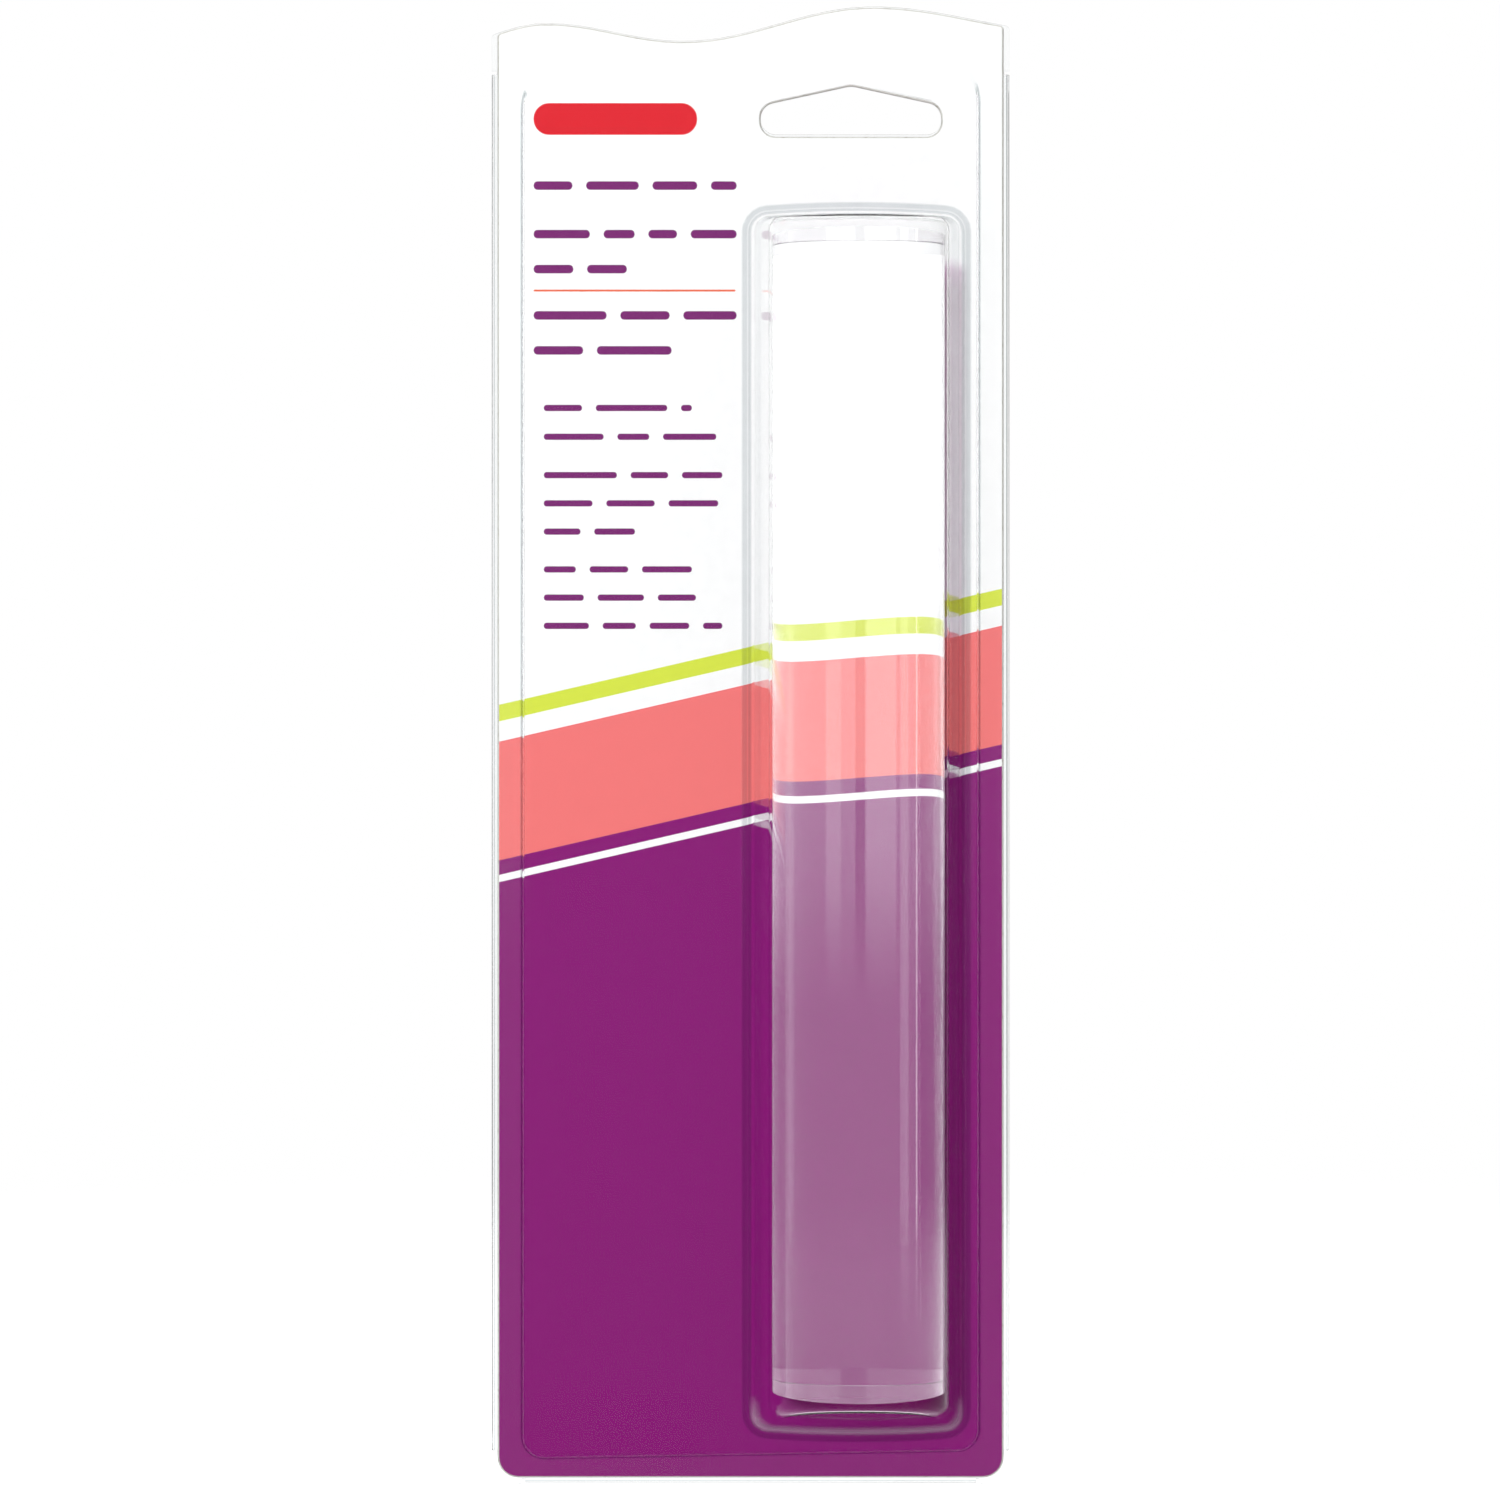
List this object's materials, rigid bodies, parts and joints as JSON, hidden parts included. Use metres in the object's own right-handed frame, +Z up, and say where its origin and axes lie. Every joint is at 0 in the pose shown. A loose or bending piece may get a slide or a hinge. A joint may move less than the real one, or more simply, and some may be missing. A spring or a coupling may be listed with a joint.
{
  "type": "acrylic clay roller pack",
  "caption": "Solid acrylic rod for rolling clay, held in a clear thermoformed shell over a printed card with a wavy top edge and a hang hole.",
  "frame": {"origin": "top of the hang hole, where a peg bears, on the front face of the card", "axes": "+Z up, +X to the right of the front view, and the front faces -Y"},
  "size_m": [0.0918, 0.0325, 0.2616],
  "materials": {
    "acrylic": "cast clear acrylic, polished",
    "film": "thermoformed clear film, glossy",
    "board": "coated board, printed"
  },
  "bodies": {
    "blister": {"blister_shell": "film"},
    "card": {"backing_card": "board"},
    "rod": {"roller": "acrylic"}
  },
  "joints": [
    {"name": "card_slide", "type": "slide", "parent": "blister", "child": "card", "axis": [0, 0, 1], "range_m": [0, 0.249]},
    {"name": "roller_spin", "type": "hinge", "parent": "blister", "child": "rod", "pos_m": [0.0009, -0.0153, -0.1286], "axis": [0, 0, 1], "continuous": true}
  ]
}
